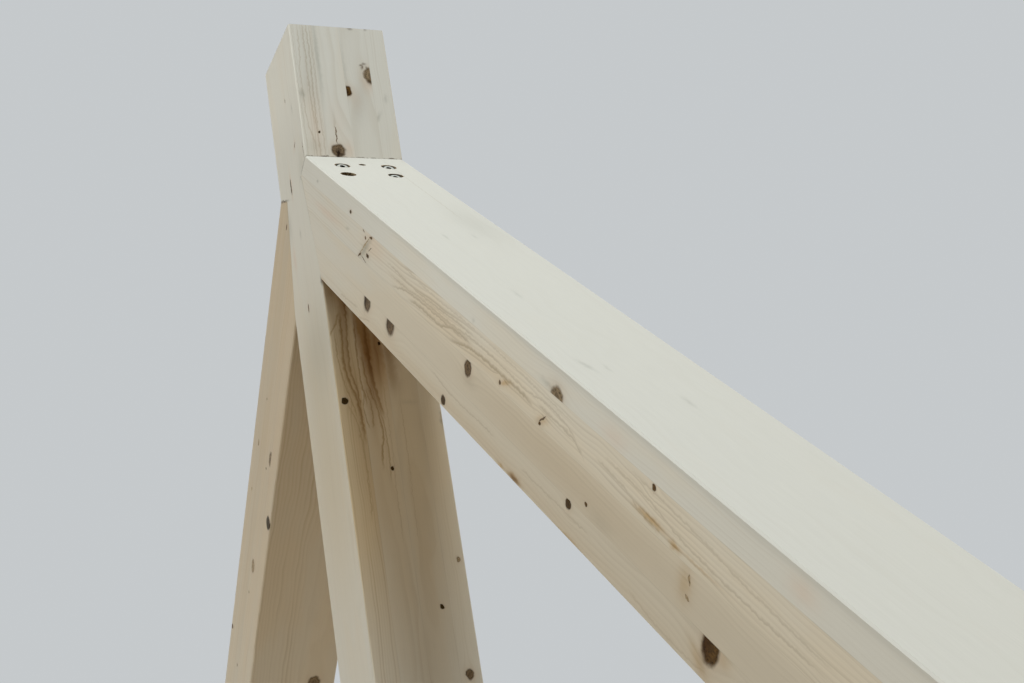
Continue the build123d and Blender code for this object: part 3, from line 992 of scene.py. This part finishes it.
# Millimetres: the two kinds of screw, without their own lengths
washer_sizes = {
    "Head Diameter": 22.0, "Head Thickness": 4.0, "Rim Height": 0.9, "Socket Width": 6.6,
    "Socket Depth": 3.0, "Shank Diameter": 5.8, "Core Diameter": 5.2, "Thread Diameter": 8.0,
    "Thread Pitch": 5.2, "Point Length": 10.0,
}
slim_sizes = {
    "Head Diameter": 9.0, "Head Thickness": 6.0, "Rim Height": 3.4, "Socket Width": 4.6,
    "Socket Depth": 3.0, "Shank Diameter": 4.3, "Core Diameter": 3.8, "Thread Diameter": 6.0,
    "Thread Pitch": 3.6, "Point Length": 10.0,
}
washer_pocket = 11.5
slim_pocket = 5.0
lean = pitch + math.radians(14)
screw_stop = 12.0 * METRES
shallow = 2.0
head_places = (
    ("head_screw_{}_1", 60.0, -38.0, 1.2),
    ("head_screw_{}_2", 60.0, 37.0, 1.6),
    ("head_screw_{}_3", 117.0, -46.0, 8.0),
    ("head_screw_{}_4", 117.0, 29.0, 2.6),
    ("middle_screw_{}", 49.0, -3.0, 14.0),
)
out_of_timber = Vector((math.sin(lean), 0, math.cos(lean)))
sides = (("right", right, Matrix.Identity(4)), ("left", left, Matrix.Rotation(math.pi, 4, "Z")))
for side, timber, half_turn in sides:
    for name, down_slope, y, sink in head_places:
        is_slim = name.startswith("middle")
        sizes = dict(slim_sizes if is_slim else washer_sizes)
        seat = corner + down * down_slope * METRES + Vector((0, y, 0)) * METRES
        seat -= out_of_timber * (sizes["Head Thickness"] + sink) * METRES
        sizes["Length"] = (seat.x - screw_stop) / math.sin(lean) / METRES
        sizes["Thread Length"] = 50.0 if is_slim else 80.0
        place = half_turn @ Matrix.Translation(seat) @ Matrix.Rotation(lean, 4, "Y")
        make_screw(name.format(side), screw_tree, sizes, place)
        turned_axis = half_turn.to_3x3() @ out_of_timber
        timber.pocket(half_turn @ seat, turned_axis, slim_pocket if is_slim else washer_pocket)
        if is_slim or sink > shallow:
            continue

        # A shallow head has bruised the wood a little way up the slope as well, where painted shade darkens
        # a crescent
        bruise_and_shade_centre = half_turn @ (seat - down * 3.0 * METRES)
        timber.pocket(bruise_and_shade_centre, turned_axis, washer_pocket - 0.5)

# Upright screws of the heels and of the foot, in pairs through the thickness
heel_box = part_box("heel_screw_right_1")
foot_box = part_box("foot_screw_1")
head_height = washer_sizes["Head Thickness"] * METRES
half_apart = 37.5 * METRES
upright = Vector((0, 0, 1))
for number, y in ((1, -half_apart), (2, half_apart)):
    for side, timber, half_turn in sides:
        seat = Vector(((heel_box[0].x + heel_box[1].x) / 2, y, heel_box[1].z - head_height))
        sizes = {**washer_sizes, "Length": (seat.z - heel_box[0].z) / METRES, "Thread Length": 100.0}
        place = half_turn @ Matrix.Translation(seat)
        make_screw(f"heel_screw_{side}_{number}", screw_tree, sizes, place)
        timber.pocket(half_turn @ seat, upright, washer_pocket)
    seat = Vector((0, y, foot_box[0].z + head_height))
    sizes = {**washer_sizes, "Length": (foot_box[1].z - seat.z) / METRES, "Thread Length": 100.0}
    place = Matrix.Translation(seat) @ Matrix.Rotation(math.pi, 4, "X")
    make_screw(f"foot_screw_{number}", screw_tree, sizes, place)
    tie.pocket(seat, upright, washer_pocket)

# The timbers take their finish once every pocket is known
dress("tie_beam", tie.grow())
quiet_skin = 0.7
quiet_side = quiet_skin - HALF_TIMBER
dress("king_post", post.grow(tilt=(0.004, 0.010), wander_by=12.0, quiet_to=quiet_side, quiet=0.25))
dress("rafter_right", right.grow(tilt=(0.0, 0.004), wander_by=8.0, quiet_to=quiet_skin, quiet=0.4))
dress("rafter_left", left.grow())


# Floor and light. A pale floor and a pale room, one broad lamp above the right rafter, and
# softer ones beside the truss. None of them is part of the object.
floor_mesh = bpy.data.meshes.new("floor")
reach = 30.0
corners = [(-reach, -reach, 0), (reach, -reach, 0), (reach, reach, 0), (-reach, reach, 0)]
floor_mesh.from_pydata(corners, [], [(0, 1, 2, 3)])
floor = add_object("floor", floor_mesh)
ROOM_COLOUR = (0.56, 0.585, 0.60)


def looked_at(steps):
    """1 where the eye, a mirror or glass looks, and 0 where only light falls."""
    path = steps.step("ShaderNodeLightPath").outputs
    direct = steps.larger(path["Is Camera Ray"], path["Is Glossy Ray"])
    return steps.larger(direct, path["Is Transmission Ray"])


# The floor keeps the shadow near the truss, and fades into the room's own colour farther away
ground = Finish("pale_floor")
direct = looked_at(ground)
floor_colour = ground.mix(direct, (0.64, 0.59, 0.52), (0.72, 0.74, 0.75))
ground.fill(ground.shader, {"Base Color": floor_colour, "Roughness": 0.8})
plain = ground.step("ShaderNodeEmission", (*ROOM_COLOUR, 1)).outputs[0]
away = ground.fade(ground.vector("LENGTH", ground.place), 2.5, 8.0, 0.55, 1.0)
share = ground.times(away, direct)
blend = ground.step("ShaderNodeMixShader", share, ground.shader.outputs[0], plain)
ground.fill(ground.nodes["Material Output"], {"Surface": blend.outputs[0]})
floor_mesh.materials.append(ground.material)
floor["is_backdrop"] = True

world = bpy.data.worlds.new("pale_room")
bpy.context.scene.world = world
world.use_nodes = True
sky = Steps(world.node_tree)
room = sky.fill(sky.nodes["Background"], {"Color": (1.0, 0.86, 0.68, 1), "Strength": 0.185})
seen = sky.step("ShaderNodeBackground", (*ROOM_COLOUR, 1), 1.0)
choose = sky.step("ShaderNodeMixShader", looked_at(sky), room.outputs[0], seen.outputs[0])
sky.fill(sky.nodes["World Output"], {"Surface": choose.outputs[0]})


def soft_lamp(name, towards, distance, size, level, colour):
    """A broad lamp that lights the joint. At level 1 it alone shows a colour as it is written."""
    data = bpy.data.lights.new(name, "AREA")
    data.shape = "DISK"
    data.size = size
    data.energy = level * math.pi ** 2 * distance ** 2
    data.color = colour
    lamp = add_object(name, data)
    aim = Vector((0, 0, 2.4))
    direction = Vector(towards).normalized()
    lamp.location = aim + direction * distance
    lamp.rotation_mode = "QUATERNION"
    lamp.rotation_quaternion = direction.to_track_quat("Z", "Y")


# Each lamp's direction from the joint, its distance, breadth, level and colour
soft_lamp("lamp_above", (0.61, 0.0, 0.79), 7.0, 2.6, 0.70, (0.90, 1.0, 1.10))
soft_lamp("lamp_left", (0.08, -0.92, 0.38), 4.5, 3.0, 0.43, (0.93, 1.0, 1.06))
soft_lamp("lamp_right", (-0.2, 0.92, 0.35), 7.0, 4.0, 0.30, (1.0, 0.98, 0.95))
soft_lamp("lamp_behind", (-0.95, -0.1, 0.3), 7.0, 4.0, 0.30, (1.0, 0.98, 0.95))

bpy.context.scene.view_settings.view_transform = "Standard"

# The imported box and the dressed box
visual_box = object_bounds()
sizes = {"cad": [list(point) for point in cad_box], "visual": [list(point) for point in visual_box]}
